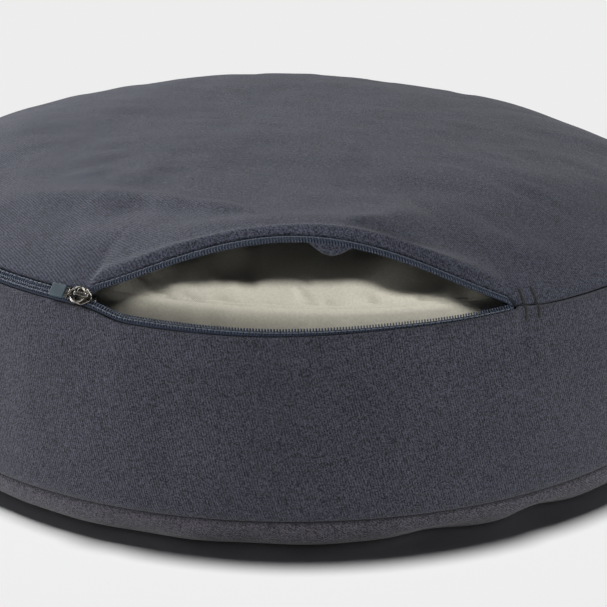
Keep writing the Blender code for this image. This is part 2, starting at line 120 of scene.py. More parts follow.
# Shared shapes --------------------------------------------------------------------------------


def smooth(share):
    share = np.clip(share, 0.0, 1.0)
    return share * share * (3 - 2 * share)


def ripple(x, y, wavelength, seed, waves=14):
    """Smooth noise from -1 to 1 about, a sum of plane waves of mixed direction near one wavelength."""
    random = np.random.default_rng(seed)
    total = np.zeros(np.broadcast(x, y).shape)
    for _ in range(waves):
        turn = random.uniform(0, math.tau)
        number = math.tau / wavelength * random.uniform(0.55, 1.6)
        total += np.sin(number * (x * math.cos(turn) + y * math.sin(turn)) + random.uniform(0, math.tau))
    return total / math.sqrt(waves / 2) / 1.6


def ripple_round(angle, periods, seed, waves=7):
    """Smooth noise round the cushion, with about that many swells in a full turn."""
    random = np.random.default_rng(seed)
    total = np.zeros(np.shape(angle))
    for _ in range(waves):
        number = max(1, round(periods * random.uniform(0.5, 1.6)))
        total += np.sin(number * angle + random.uniform(0, math.tau))
    return total / math.sqrt(waves / 2) / 1.6


def turned_point(angle, radius, z):
    return np.stack(np.broadcast_arrays(radius * np.sin(angle), -radius * np.cos(angle), z), -1)


def beside_seam(angle, s, n):
    radius = TOP_SEAM_RADIUS + n * NORMAL_SIN - s * NORMAL_SIN
    return turned_point(angle, radius, (n + s) * NORMAL_SIN)


def to_world(points):
    matrix = np.array(TOP_FRAME)
    return points @ matrix[:3, :3].T + matrix[:3, 3]


def lean_with_height(points):
    """Leans points as far as the top seam at its height, and not at all at the bottom seam's."""
    share = np.clip((points[..., 2] - BOTTOM_SEAM_HEIGHT) / (SEAM_CENTRE.z - BOTTOM_SEAM_HEIGHT), 0, 1)
    turn = LEAN * share
    x, z = points[..., 0], points[..., 2] - SEAM_CENTRE.z
    moved_x = x * np.cos(turn) + z * np.sin(turn)
    moved_z = -x * np.sin(turn) + z * np.cos(turn) + SEAM_CENTRE.z
    return np.stack([moved_x, points[..., 1], moved_z], -1)


def wrapped(angle):
    return (angle + math.pi) % math.tau - math.pi


def corner_share(angle):
    """The small lift that the mouth's right corner and the seam just past it take from the lip."""
    return CORNER_LIFT * np.exp(-(((wrapped(angle) - MOUTH_HALF) / CORNER_REACH) ** 2))


def lip_share(angle):
    """The upper lip's share of the lift: full at the corners, a little slack in the middle."""
    across = np.sin(np.clip(wrapped(angle), -MOUTH_HALF, MOUTH_HALF)) / math.sin(MOUTH_HALF)
    arch = np.cos(0.5 * math.pi * across)
    full = np.exp(-arch / 0.25) * np.where(across < 0, 0.075 * smooth(arch / 0.1), 0.06 * smooth(arch / 0.35))
    return 0.955 * arch + full + corner_share(angle)


def panel_share(angle, radius):
    """How much of the lip's lift a point of the top panel takes, by its radius with the zip closed."""
    inward = LIFT_RIM - radius
    soft = np.cos(0.5 * math.pi * np.clip(np.abs(wrapped(angle)) / LIFT_SOFT_HALF, 0, 1)) ** 2
    mix = smooth(inward / LIFT_SOFT_DEPTH)
    fade = (1 - np.clip(inward / LIFT_REACH, 0, 1)) ** LIFT_FADE
    return fade * ((1 - mix) * lip_share(angle) + mix * soft)


SAG = 0.115
SAG_RISE = 0.11
CORNER_LIFT = 0.045
CORNER_REACH = math.radians(3.6)


def sag_share(angle):
    """The lower lip's droop, as a negative share of the lift: quick beside the slider, then easing off."""
    along = along_mouth(angle)
    rise = smooth(along / SAG_RISE)
    ease = 0.9 * (1 - smooth((along - 0.34) / 0.56)) - 0.12 * np.exp(-(((along - 0.92) / 0.06) ** 2))
    close = smooth((1 - along) / 0.06)
    return -SAG * rise * ease * close + corner_share(angle)


def along_mouth(angle):
    """From 0 at the mouth's left corner to 1 at its right one."""
    across = np.sin(np.clip(wrapped(angle), -MOUTH_HALF, MOUTH_HALF)) / math.sin(MOUTH_HALF)
    return (across + 1) / 2


def edge_of(angle, width=ZIP_EDGE):
    """How far the cloth's edge lies from the seam's line: wide along the zip, nothing elsewhere."""
    turn = np.degrees(wrapped(angle))
    start, end = math.degrees(ZIP_START), math.degrees(MOUTH_HALF)
    wide = smooth((turn - start) / 1.2) * smooth((end + 0.8 - turn) / 1.2)
    return PLAIN_EDGE + (width - PLAIN_EDGE) * wide


RIDGE_RISE = 2.6 * MM
RIDGE_REACH = (4.4 * MM, 8.2 * MM)
LIP_HOLLOW = 3.4 * MM


def ridge(angle, inward):
    """The fold that stands along the upper lip, by how far inward of the cloth's edge a point lies."""
    along = along_mouth(angle)
    middle = np.exp(-(((along - 0.43) / 0.21) ** 2))
    reach = (RIDGE_REACH[0] + (RIDGE_REACH[1] - RIDGE_REACH[0]) * along) * (1 - 0.3 * middle)
    share = np.clip(inward, 0, None) / reach
    rise = RIDGE_RISE * (1 - 0.72 * middle) * lip_share(angle) ** 0.45
    rise = rise * (1 + 0.55 * smooth((along - 0.6) / 0.25))
    return rise * (share * np.exp(1 - share)) ** 2.6


def lip_hollow(angle, inward):
    """How far the slack cloth behind the middle of the lip lies below the full dome."""
    middle = np.exp(-(((along_mouth(angle) - 0.43) / 0.24) ** 2)) * (np.abs(wrapped(angle)) < MOUTH_HALF)
    return LIP_HOLLOW * middle * smooth((inward - 1.0 * MM) / (7 * MM)) * smooth((85 * MM - inward) / (60 * MM))


def dome(radius, rim, height):
    share = np.clip(radius / rim, 0, 1) ** DOME_POWERS[0]
    return height * (1 - share) ** DOME_POWERS[1]


def to_sn(radius, z):
    """(s, n) of a place given by its radius and its height above the seam's plane."""
    out = radius - TOP_SEAM_RADIUS
    return (z - out) * NORMAL_SIN, (z + out) * NORMAL_SIN


# Mesh building --------------------------------------------------------------------------------


def grid_mesh(name, points, closed_u, weave, pole=False):
    """A mesh of quads from an array of points [row, column]; weave holds each point's cloth (u, v).
    pole says that the first row is one point."""
    rows, columns = points.shape[:2]
    span = columns if closed_u else columns - 1
    index = np.arange(rows * columns).reshape(rows, columns)
    ahead = np.roll(index, -1, axis=1)[:, :span]
    index = index[:, :span]
    faces = np.stack([index[:-1], index[1:], ahead[1:], ahead[:-1]], -1).reshape(-1, 4)
    mesh = bpy.data.meshes.new(name)
    work = [tuple(face) for face in faces]
    if pole:
        work = [tuple(dict.fromkeys(0 if i < columns else int(i) for i in face)) for face in work]
    mesh.from_pydata(points.reshape(-1, 3).tolist(), [], work)
    layer = mesh.uv_layers.new(name="weave")
    loops = np.empty(len(mesh.loops), np.int32)
    mesh.loops.foreach_get("vertex_index", loops)
    flat = weave.reshape(-1, 2)
    chosen = flat[loops]
    if closed_u:
        mend_wrap(mesh, chosen)
    layer.data.foreach_set("uv", chosen.astype(np.float32).ravel())
    mesh.shade_smooth()
    return mesh


def mend_wrap(mesh, uv):
    """Where a face joins the last column to the first, carries its weave on instead of back."""
    starts = np.empty(len(mesh.polygons), np.int32)
    counts = np.empty(len(mesh.polygons), np.int32)
    mesh.polygons.foreach_get("loop_start", starts)
    mesh.polygons.foreach_get("loop_total", counts)
    whole = uv[:, 0].max() - uv[:, 0].min()
    columns = np.repeat(np.arange(len(starts)), counts)
    high = np.full(len(starts), -1e9)
    np.maximum.at(high, columns, uv[:, 0])
    low = uv[:, 0] < high[columns] - whole / 2
    uv[low, 0] += whole * (1 + 1 / AROUND)


def link(name, mesh, look):
    obj = bpy.data.objects.new(name, mesh)
    bpy.context.scene.collection.objects.link(obj)
    mesh.materials.clear()
    mesh.materials.append(look)
    return obj


def thicken(obj, thickness, offset=-1):
    solid = obj.modifiers.new("cloth", "SOLIDIFY")
    solid.thickness = thickness
    solid.offset = offset
    solid.use_even_offset = False
    return obj


def with_lip(obj):
    """Bakes the piece's transform into its mesh; its points already hold their share of the lift."""
    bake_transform(obj)
    return obj


# Materials ------------------------------------------------------------------------------------


class Nodes:
    """A short way to add nodes to a material's tree and join them."""

    def __init__(self, name):
        self.material = bpy.data.materials.new(name)
        self.material.use_nodes = True
        self.tree = self.material.node_tree
        self.shader = self.tree.nodes["Principled BSDF"]

    def add(self, kind, **settings):
        node = self.tree.nodes.new("ShaderNode" + kind)
        for key, value in settings.items():
            if key.startswith("in_"):
                node.inputs[int(key[3:])].default_value = value
            else:
                setattr(node, key, value)
        return node

    def join(self, output, target):
        self.tree.links.new(output, target)

    def maths(self, operation, a, b=None):
        node = self.add("Math", operation=operation)
        for slot, value in zip(node.inputs, (a, b)):
            if value is None:
                continue
            if isinstance(value, (int, float)):
                slot.default_value = value
            else:
                self.join(value, slot)
        return node.outputs[0]

    def blend_colour(self, factor, a, b, how="MIX"):
        node = self.add("Mix", data_type="RGBA", blend_type=how)
        for slot, value in zip((node.inputs[0], node.inputs[6], node.inputs[7]), (factor, a, b)):
            if isinstance(value, (int, float)):
                slot.default_value = value
            elif isinstance(value, tuple):
                slot.default_value = (*value, 1.0)
            else:
                self.join(value, slot)
        return node.outputs[2]

    def noise(self, coordinates, scale, detail=2.0, roughness=0.5):
        node = self.add("TexNoise")
        node.inputs["Scale"].default_value = scale
        node.inputs["Detail"].default_value = detail
        node.inputs["Roughness"].default_value = roughness
        self.join(coordinates, node.inputs["Vector"])
        return node.outputs[0]

    def stretch(self, value, low, high, to_low=0.0, to_high=1.0):
        node = self.add("MapRange")
        node.inputs[1].default_value = low
        node.inputs[2].default_value = high
        node.inputs[3].default_value = to_low
        node.inputs[4].default_value = to_high
        self.join(value, node.inputs[0])
        return node.outputs[0]

    def bump(self, height, strength, distance):
        node = self.add("Bump")
        node.inputs["Strength"].default_value = strength
        node.inputs["Distance"].default_value = distance
        self.join(height, node.inputs["Height"])
        self.join(node.outputs[0], self.shader.inputs["Normal"])

    def finish(self, **inputs):
        for key, value in inputs.items():
            self.shader.inputs[key.replace("_", " ")].default_value = value
        return self.material


def twill(name, ribs, pitch, tone, relief):
    """Brushed slate twill: ribs of one direction, crossed by fine threads, with soft mottling, and a painted
    highlight on the upper lip's fold.
    """
    nodes = Nodes(name)
    place = nodes.add("TexCoord")
    uv, solid = place.outputs["UV"], place.outputs["Object"]
    wobble = nodes.noise(solid, 260.0, 2.0)
    cross = (ribs[1], -ribs[0])
    rib = half_wave(nodes, rib_phase(nodes, uv, ribs, pitch, wobble))
    thread = half_wave(nodes, rib_phase(nodes, uv, cross, pitch * 0.8, wobble))
    heather = nodes.noise(solid, 1300.0, 3.0, 0.75)
    fuzz = nodes.noise(solid, 420.0, 4.0, 0.65)
    patch = nodes.noise(solid, 26.0, 3.0, 0.55)
    ground = nodes.blend_colour(
        nodes.stretch(heather, 0.41, 0.59), tuple(0.26 * c for c in tone), tuple(1.88 * c for c in tone)
    )
    # This vertex attribute softens the ribs. Above 0.62 it also carries a painted highlight on the upper lip's
    # fold.
    soft = nodes.add("Attribute")
    soft.attribute_name = "softness"
    crisp = nodes.maths("SUBTRACT", relief, nodes.maths("MULTIPLY", soft.outputs["Fac"], relief))
    worn = nodes.maths("MULTIPLY", nodes.stretch(fuzz, 0.66, 0.34), crisp)
    ribbed = nodes.blend_colour(
        nodes.maths("MULTIPLY", rib, worn), ground, tuple(2.3 * c for c in tone)
    )
    grooved = nodes.blend_colour(
        nodes.maths("MULTIPLY", nodes.maths("SUBTRACT", 1.0, rib), worn), ribbed, tuple(0.35 * c for c in tone)
    )
    mottle = nodes.noise(solid, 620.0, 4.0, 0.75)
    shade = nodes.maths("MULTIPLY", nodes.stretch(patch, 0.3, 0.7, 0.93, 1.07), nodes.stretch(mottle, 0.36, 0.64, 0.80, 1.20))
    # Painted highlight: the lip's fold, shaded because it faces the front, is made up to 1.3 times lighter where
    # the attribute passes 0.62.
    painted_lip_highlight = nodes.stretch(soft.outputs["Fac"], 0.62, 0.75, 1.0, 1.3)
    shade = nodes.maths("MULTIPLY", shade, painted_lip_highlight)
    tint = nodes.add("CombineXYZ")
    for slot in tint.inputs:
        nodes.join(shade, slot)
    final = nodes.blend_colour(1.0, grooved, tint.outputs[0], "MULTIPLY")
    nodes.join(final, nodes.shader.inputs["Base Color"])
    height = nodes.maths("ADD", nodes.maths("MULTIPLY", rib, 0.7), nodes.maths("MULTIPLY", thread, 0.25))
    height = nodes.maths("ADD", height, nodes.maths("MULTIPLY", heather, 1.2))
    nodes.bump(height, 0.5, 0.00035)
    return nodes.finish(Roughness=0.95, Sheen_Weight=0.12, Sheen_Roughness=0.5, Specular_IOR_Level=0.15)


def half_wave(nodes, phase):
    """A wave from 0 to 1."""
    return nodes.stretch(nodes.maths("SINE", phase), -1.0, 1.0)


def rib_phase(nodes, uv, along, pitch, wobble):
    split = nodes.add("SeparateXYZ")
    nodes.join(uv, split.inputs[0])
    u = nodes.maths("MULTIPLY", split.outputs[0], along[0] * math.tau / pitch)
    v = nodes.maths("MULTIPLY", split.outputs[1], along[1] * math.tau / pitch)
    return nodes.maths("ADD", nodes.maths("ADD", u, v), nodes.maths("MULTIPLY", wobble, 3.0))


def plain_weave(name, tone, pitch, bump, sheen=0.1):
    """Plain cloth: threads over and under at right angles, with slubs."""
    nodes = Nodes(name)
    place = nodes.add("TexCoord")
    uv, solid = place.outputs["UV"], place.outputs["Object"]
    wobble = nodes.noise(solid, 300.0, 2.0)
    warp = nodes.maths("SINE", rib_phase(nodes, uv, (1, 0), pitch, wobble))
    weft = nodes.maths("SINE", rib_phase(nodes, uv, (0, 1), pitch, wobble))
    weave = nodes.maths("MULTIPLY", warp, weft)
    slub = nodes.noise(solid, 900.0, 3.0, 0.6)
    patch = nodes.noise(solid, 45.0, 3.0, 0.6)
    ground = nodes.blend_colour(nodes.stretch(slub, 0.35, 0.65), tuple(0.86 * c for c in tone), tone)
    stained = nodes.blend_colour(
        nodes.maths("MULTIPLY", nodes.stretch(patch, 0.4, 0.7), 0.3), ground, tuple(0.88 * c for c in tone)
    )
    woven = nodes.blend_colour(
        nodes.stretch(weave, -1.0, 1.0, 0.0, 0.22), stained, tuple(0.7 * c for c in tone)
    )
    nodes.join(woven, nodes.shader.inputs["Base Color"])
    nodes.bump(nodes.maths("ADD", weave, nodes.maths("MULTIPLY", slub, 1.5)), bump, 0.0002)
    return nodes.finish(Roughness=0.95, Sheen_Weight=sheen, Sheen_Roughness=0.5, Specular_IOR_Level=0.2)


def yarn(name, tone):
    """Twisted thread: fine slanting strands by noise stretched along the thread."""
    nodes = Nodes(name)
    solid = nodes.add("TexCoord").outputs["Object"]
    strand = nodes.noise(solid, 2600.0, 2.0, 0.6)
    ground = nodes.blend_colour(nodes.stretch(strand, 0.35, 0.65), tuple(0.6 * c for c in tone), tone)
    nodes.join(ground, nodes.shader.inputs["Base Color"])
    nodes.bump(strand, 0.5, 0.0001)
    return nodes.finish(Roughness=0.75, Sheen_Weight=0.15)


def nylon(name, tone):
    """Dyed nylon filament: satin, with slight changes of tone from turn to turn."""
    nodes = Nodes(name)
    solid = nodes.add("TexCoord").outputs["Object"]
    change = nodes.noise(solid, 700.0, 2.0)
    ground = nodes.blend_colour(nodes.stretch(change, 0.35, 0.65), tuple(0.75 * c for c in tone), tuple(1.2 * c for c in tone))
    nodes.join(ground, nodes.shader.inputs["Base Color"])
    nodes.bump(change, 0.2, 0.0001)
    return nodes.finish(Roughness=0.42, Specular_IOR_Level=0.5)


def plated(name, tone, roughness):
    """Polished dark nickel plate with worn, slightly uneven patches."""
    nodes = Nodes(name)
    solid = nodes.add("TexCoord").outputs["Object"]
    rub = nodes.noise(solid, 380.0, 3.0, 0.6)
    grain = nodes.noise(solid, 2400.0, 2.0, 0.6)
    ground = nodes.blend_colour(nodes.stretch(rub, 0.4, 0.65), tuple(0.55 * c for c in tone), tone)
    nodes.join(ground, nodes.shader.inputs["Base Color"])
    nodes.join(nodes.stretch(rub, 0.3, 0.7, roughness * 0.75, roughness * 1.4), nodes.shader.inputs["Roughness"])
    nodes.bump(grain, 0.12, 0.00005)
    return nodes.finish(Metallic=1.0)


def moulded(name, tone):
    """Soft moulded grip, matt, with a fine pebble."""
    nodes = Nodes(name)
    solid = nodes.add("TexCoord").outputs["Object"]
    pebble = nodes.noise(solid, 1800.0, 3.0, 0.6)
    cloud = nodes.noise(solid, 240.0, 2.0)
    ground = nodes.blend_colour(nodes.stretch(cloud, 0.35, 0.65), tuple(0.85 * c for c in tone), tuple(1.15 * c for c in tone))
    nodes.join(ground, nodes.shader.inputs["Base Color"])
    nodes.bump(pebble, 0.25, 0.0001)
    return nodes.finish(Roughness=0.55, Specular_IOR_Level=0.45)


SLATE = (0.0402, 0.0432, 0.0602)
TOP_TWILL = twill("cover_top_twill", (0.85, 0.53), 1.08 * MM, SLATE, 0.85)
BAND_TWILL = twill("cover_band_twill", (0.98, -0.21), 1.11 * MM, (0.0410, 0.0422, 0.0555), 0.5)
# The underside's twill is painted lighter than the top's, standing in for light that the shaded bottom strip
# doesn't get. Its warmer hue and other rib direction are its own.
UNDER_TWILL_PAINTED_LIGHTER = twill("cover_underside_twill_painted_lighter", (0.62, 0.78), 1.05 * MM, (0.062, 0.0595, 0.071), 0.35)
COTTON = plain_weave("liner_cotton_weave", (0.84, 0.80, 0.67), 0.7 * MM, 0.35)
TAPE_CLOTH = plain_weave("zip_tape_weave", (0.038, 0.048, 0.078), 0.6 * MM, 0.5)
COIL_NYLON = nylon("zip_coil_nylon", (0.052, 0.067, 0.102))
DARK_YARN = yarn("dark_sewing_thread", (0.011, 0.009, 0.011))
ZIP_YARN = yarn("zip_sewing_thread", (0.095, 0.115, 0.155))
PALE_YARN = yarn("pale_sewing_thread", (0.70, 0.66, 0.55))
NICKEL = plated("dark_nickel_plate", (0.30, 0.28, 0.25), 0.27)
RUBBER = moulded("slate_soft_grip", (0.036, 0.058, 0.074))


# Settling cloth -----------------------------------------------------------------------------


def settled(name, radius, height_of, slack, stiffness):
    """Lets a round panel of slack cloth, held at its seam and pushed from inside, come to rest.
    Gives a search tree of its shape."""
    side = np.linspace(-1, 1, 2 * int(radius / CLOTH_STEP) + 1)
    u, v = np.meshgrid(side, side, indexing="ij")
    x, y = radius * u * np.sqrt(1 - v**2 / 2), radius * v * np.sqrt(1 - u**2 / 2)
    z = height_of(np.hypot(x, y)) + 0.5 * MM * ripple(x, y, 30 * MM, 71)
    index = np.arange(x.size).reshape(x.shape)
    faces = np.stack([index[:-1, :-1], index[1:, :-1], index[1:, 1:], index[:-1, 1:]], -1).reshape(-1, 4)
    mesh = bpy.data.meshes.new(name)
    mesh.from_pydata(np.stack([x, y, z], -1).reshape(-1, 3).tolist(), [], faces.tolist())
    obj = bpy.data.objects.new(name, mesh)
    bpy.context.scene.collection.objects.link(obj)
    edge = np.unique(np.concatenate([index[0], index[-1], index[:, 0], index[:, -1]]))
    pins = obj.vertex_groups.new(name="seam")
    pins.add([int(i) for i in edge], 1.0, "REPLACE")
    cloth = obj.modifiers.new("settle", "CLOTH")
    cloth.point_cache.frame_start, cloth.point_cache.frame_end = 1, CLOTH_FRAMES
    rules = cloth.settings
    rules.quality = 6
    rules.mass = 0.15
    rules.tension_stiffness = rules.compression_stiffness = stiffness
    rules.shear_stiffness = 0.4 * stiffness
    rules.bending_stiffness = 0.15
    rules.use_pressure = True
    rules.uniform_pressure_force = 4.0
    rules.shrink_min = rules.shrink_max = -slack
    rules.effector_weights.gravity = 0.0
    rules.vertex_group_mass = "seam"
    cloth.collision_settings.use_collision = False
    scene = bpy.context.scene
    for number in range(1, CLOTH_FRAMES + 1):
        scene.frame_set(number)
    shape = obj.evaluated_get(bpy.context.evaluated_depsgraph_get()).to_mesh()
    tree = BVHTree.FromPolygons([v.co.copy() for v in shape.vertices], faces.tolist())
    bpy.data.objects.remove(obj, do_unlink=True)
    scene.frame_set(1)
    return tree


def creases(tree, rows, most):
    """How far the settled cloth rises at each point of the rings, beyond the ring's mean, up to most."""
    rises = np.zeros(rows.shape[:2])
    if tree is None:
        return rises
    for i, row in enumerate(rows):
        for j, (x, y, z) in enumerate(row):
            hit = tree.ray_cast(Vector((x, y, z + 0.1)), Vector((0, 0, -1)))[0]
            rises[i, j] = hit.z - z if hit else 0.0
        rises[i] -= rises[i].mean()
    return most * np.tanh(rises / most)


CLOTH_STEP = 5.0 * MM
CLOTH_FRAMES = 20
COVER_CLOTH = settled(
    "cover_panel", TOP_SEAM_RADIUS, lambda r: dome(r, TOP_SEAM_RADIUS, DOME_HEIGHT), 0.02, 30.0
)
LINER_CLOTH = settled(
    "liner_panel", LINER_RADIUS, lambda r: dome(r, LINER_RADIUS, LINER_DOME), 0.06, 12.0
)

# Cover ----------------------------------------------------------------------------------------

ANGLES = np.arange(AROUND) * math.tau / AROUND - math.pi


FOLDS = (
    # start (x, y), end (x, y), half width, height, side of the hollow beside it and its depth; all mm
    ((18, -177), (50, -112), 6.0, 2.6, 1, 3.4),
    ((-18, -149), (-134, -86), 5.0, 1.9, -1, 1.0),
)


def folds(x, y):
    """The slack folds that run back from the open lip, each a soft ridge with a hollow beside it."""
    total = np.zeros(np.shape(x))
    for start, end, half, height, side, hollow in FOLDS:
        start, end = np.array(start) * MM, np.array(end) * MM
        length = np.linalg.norm(end - start)
        way = (end - start) / length
        along = (x - start[0]) * way[0] + (y - start[1]) * way[1]
        off = (x - start[0]) * way[1] - (y - start[1]) * way[0]
        off = off - 0.08 * length * np.sin(math.pi * np.clip(along / length, 0, 1))
        wide = half * MM * (1 + 0.9 * np.clip(along / length, 0, 1))
        fade = smooth((along + 8 * MM) / (26 * MM)) * smooth((length + 10 * MM - along) / (45 * MM))
        crest = height * np.exp(-((off / wide) ** 2))
        trough = hollow * np.exp(-(((off - side * 2.4 * wide) / (2.0 * wide)) ** 2))
        total += fade * (crest - trough) * MM
    return total


def panel_undulation(x, y):
    """Soft swells of the stuffed top, strongest behind the mouth and fading out at the seam."""
    swell = 1.1 * MM * ripple(x, y, 120 * MM, 11) + 0.35 * MM * ripple(x, y, 42 * MM, 12)
    radius = np.hypot(x, y)
    return (swell + folds(x, y)) * smooth((TOP_SEAM_RADIUS - radius) / (22 * MM))


def allowance_sag(angle):
    """How far the turned-in edge droops out of the seam at one place right of the mouth's middle."""
    turn = np.degrees(wrapped(angle))
    return 6.0 * MM * np.sin(math.pi * np.clip((turn - 0.5) / 6.8, 0, 1)) ** 1.2


def cover_top():
    """The domed panel, its rolled edge and the allowance that turns in beside the zip."""
    edge = edge_of(ANGLES)
    last = TOP_SEAM_RADIUS - 0.62 * (edge + ROLL)
    shares = 1 - (1 - np.linspace(0, 1, 84)) ** 1.35
    rows, weights, weave, plain = [], [], [], []
    for share in shares:
        radius = last * share
        point = turned_point(ANGLES, radius, dome(radius, TOP_SEAM_RADIUS, DOME_HEIGHT))
        plain.append(point.copy())
        point[:, 2] += panel_undulation(point[:, 0], point[:, 1])
        rise = ridge(ANGLES, 1.25 * (last - radius)) * NORMAL_SIN
        point += turned_point(ANGLES, rise, rise)
        point[:, 2] -= lip_hollow(ANGLES, last - radius)
        rows.append(point)
        weights.append(panel_share(ANGLES, radius))
        weave.append(point[:, :2].copy())
    rises = creases(COVER_CLOTH, np.array(plain), 0.4 * MM)
    beside = 1 - 0.8 * lip_share(ANGLES) * (np.abs(wrapped(ANGLES)) < MOUTH_HALF)
    for i, share in enumerate(shares):
        rows[i][:, 2] += rises[i] * beside * smooth((1 - share) * 2.4)
    s0, n0 = to_sn(last, dome(last, TOP_SEAM_RADIUS, DOME_HEIGHT))
    for turn in np.radians([18, 36, 54, 72, 90]):
        s = edge + (s0 - edge) * (1 - math.sin(turn))
        rows.append(beside_seam(ANGLES, s, n0 - ROLL * (1 - math.cos(turn))))
    hang = allowance_sag(ANGLES) * NORMAL_SIN
    for depth in (0.2, 0.4, 0.6, 0.8, 1.0):
        down = hang * depth**1.5
        rows.append(beside_seam(ANGLES, edge - down, n0 - ROLL - (ALLOWANCE - ROLL) * depth - down))
    for row in rows[len(weights):]:
        weights.append(lip_share(ANGLES))
        drop = np.linalg.norm(row - rows[len(shares) - 1], axis=1)
        outward = turned_point(ANGLES, 1.0, 0.0)[:, :2]
        weave.append(rows[len(shares) - 1][:, :2] + outward * drop[:, None])
    # Per point: how much the ribs soften, on the right of the top and on the upper lip. Past 0.62, which happens
    # only on the lip, the value also paints a highlight on the lip's shaded fold.
    softness_and_lip_highlight_rows = []
    for i, row in enumerate(rows):
        worn = 0.62 * smooth((row[:, 0] + 110 * MM) / (90 * MM))
        inward = np.maximum(last - shares[min(i, len(shares) - 1)] * last, 0)
        lip_fold_softness_and_highlight = 0.75 * lip_share(ANGLES) ** 0.5 * (np.abs(wrapped(ANGLES)) < MOUTH_HALF)
        softness_and_lip_highlight_rows.append(np.maximum(worn, lip_fold_softness_and_highlight * smooth((22 * MM - inward) / (12 * MM))))
    points, weights = np.array(rows), np.array(weights)
    points = to_world(points + weights[..., None] * LIFT)
    mesh = grid_mesh("cover_top_cloth", points, True, np.array(weave), pole=True)
    softness = mesh.attributes.new("softness", "FLOAT", "POINT")
    softness.data.foreach_set("value", np.array(softness_and_lip_highlight_rows).astype(np.float32).ravel())
    obj = thicken(link("cover_top_cloth", mesh, TOP_TWILL), FABRIC)
    with_lip(obj)
    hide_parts("cover_top_panel")


def band_section(share):
    """Radius and height above the seam's plane of the band, from the top seam at 0 to the bottom at 1."""
    drop = SEAM_CENTRE.z - BOTTOM_SEAM_HEIGHT
    straight = TOP_SEAM_RADIUS + (BOTTOM_SEAM_RADIUS - TOP_SEAM_RADIUS) * share
    return straight + BAND_BULGE * np.sin(math.pi * np.clip(share, 0, 1)) ** 0.5, -drop * share


def cover_band():
    """The upright band, rolled in at both seams; its top edge droops where the zip is open."""
    in_mouth = np.abs(wrapped(ANGLES)) < MOUTH_HALF
    covering = 1.15 * MM * smooth((along_mouth(ANGLES) - 0.15) / 0.85) * in_mouth
    edge = edge_of(ANGLES, ZIP_EDGE - covering)
    drop = SEAM_CENTRE.z - BOTTOM_SEAM_HEIGHT
    droop = sag_share(ANGLES)
    rim_n = 0.1 * MM + 0.9 * covering
    rows, weights, travel = [], [], []
    for depth in (1.0, 0.5, 0.0):
        rows.append(beside_seam(ANGLES, -edge, rim_n - ROLL - (ALLOWANCE - ROLL) * depth))
    for turn in np.radians([72, 54, 36, 18, 0]):
        s = -(edge + ROLL * (1 - math.sin(turn)))
        rows.append(beside_seam(ANGLES, s, rim_n - ROLL * (1 - math.cos(turn))))
    weights += [droop] * len(rows)
    travel += [-0.006, -0.004, -0.003, -0.002, -0.0015, -0.001, -0.0005, 0.0]
    start = edge + ROLL
    for share in np.linspace(0.02, 1.0, 46) ** 1.15:
        reach = start * 0.9 / drop
        along = reach + (1 - reach) * share
        radius, z = band_section(along)
        s, n = to_sn(radius, z)
        s1, n1 = to_sn(*band_section(reach))
        pull = (1 - smooth(share * drop / (16 * MM))) * (rim_n - n1)
        swell = 0.7 * MM * ripple_round(ANGLES, 9, 21) * math.sin(math.pi * share) ** 1.0
        swell = swell + 0.25 * MM * ripple_round(ANGLES, 31, 22) * math.sin(math.pi * share)
        s = np.where(share < 0.2, s + (-start - s1) * (1 - smooth(share / 0.2)), s)
        point = beside_seam(ANGLES, s, n + pull)
        point += turned_point(ANGLES, swell, 0.0)
        if share > 0.97:
            continue
        rows.append(point)
        weights.append(droop * (1 - smooth(share * drop / (48 * MM))))
        travel.append(share * drop)
    base = BOTTOM_SEAM_HEIGHT - SEAM_CENTRE.z
    for turn in np.radians([30, 60, 90]):
        radius = BOTTOM_SEAM_RADIUS + 0.2 * MM - ROLL * (1 - math.cos(turn))
        rows.append(turned_point(ANGLES, radius, base + PLAIN_EDGE + ROLL * (1 - math.sin(turn))))
        weights.append(droop * 0)
        travel.append(drop + ROLL * turn)
    for depth in (0.5, 1.0):
        radius = BOTTOM_SEAM_RADIUS - ROLL - (ALLOWANCE - ROLL) * depth
        rows.append(turned_point(ANGLES, radius, base + PLAIN_EDGE))
        weights.append(droop * 0)
        travel.append(drop + ALLOWANCE * depth)
    weights = np.array(weights)
    points = np.array(rows) + np.array([0, 0, SEAM_CENTRE.z])
    flat_lift = LIFT_WORLD
    points = lean_with_height(points) + weights[..., None] * np.array(flat_lift)
    weave = np.stack(np.broadcast_arrays(ANGLES[None, :] * BOTTOM_SEAM_RADIUS, np.array(travel)[:, None]), -1)
    mesh = grid_mesh("cover_band_cloth", points, True, weave)
    obj = thicken(link("cover_band_cloth", mesh, BAND_TWILL), FABRIC)
    with_lip(obj)
    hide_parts("cover_side_band")


UNDER_DENTS = ((17.5, 5.0, 5.5), (33.5, 4.2, 6.0))  # place round the seam and half width in degrees, depth in mm


def under_dents(angle):
    """How far the slack bottom panel tucks in under the seam, at the right of the front."""
    turn = np.degrees(wrapped(angle))
    return sum(depth * MM * np.exp(-(((turn - place) / half) ** 2)) for place, half, depth in UNDER_DENTS)


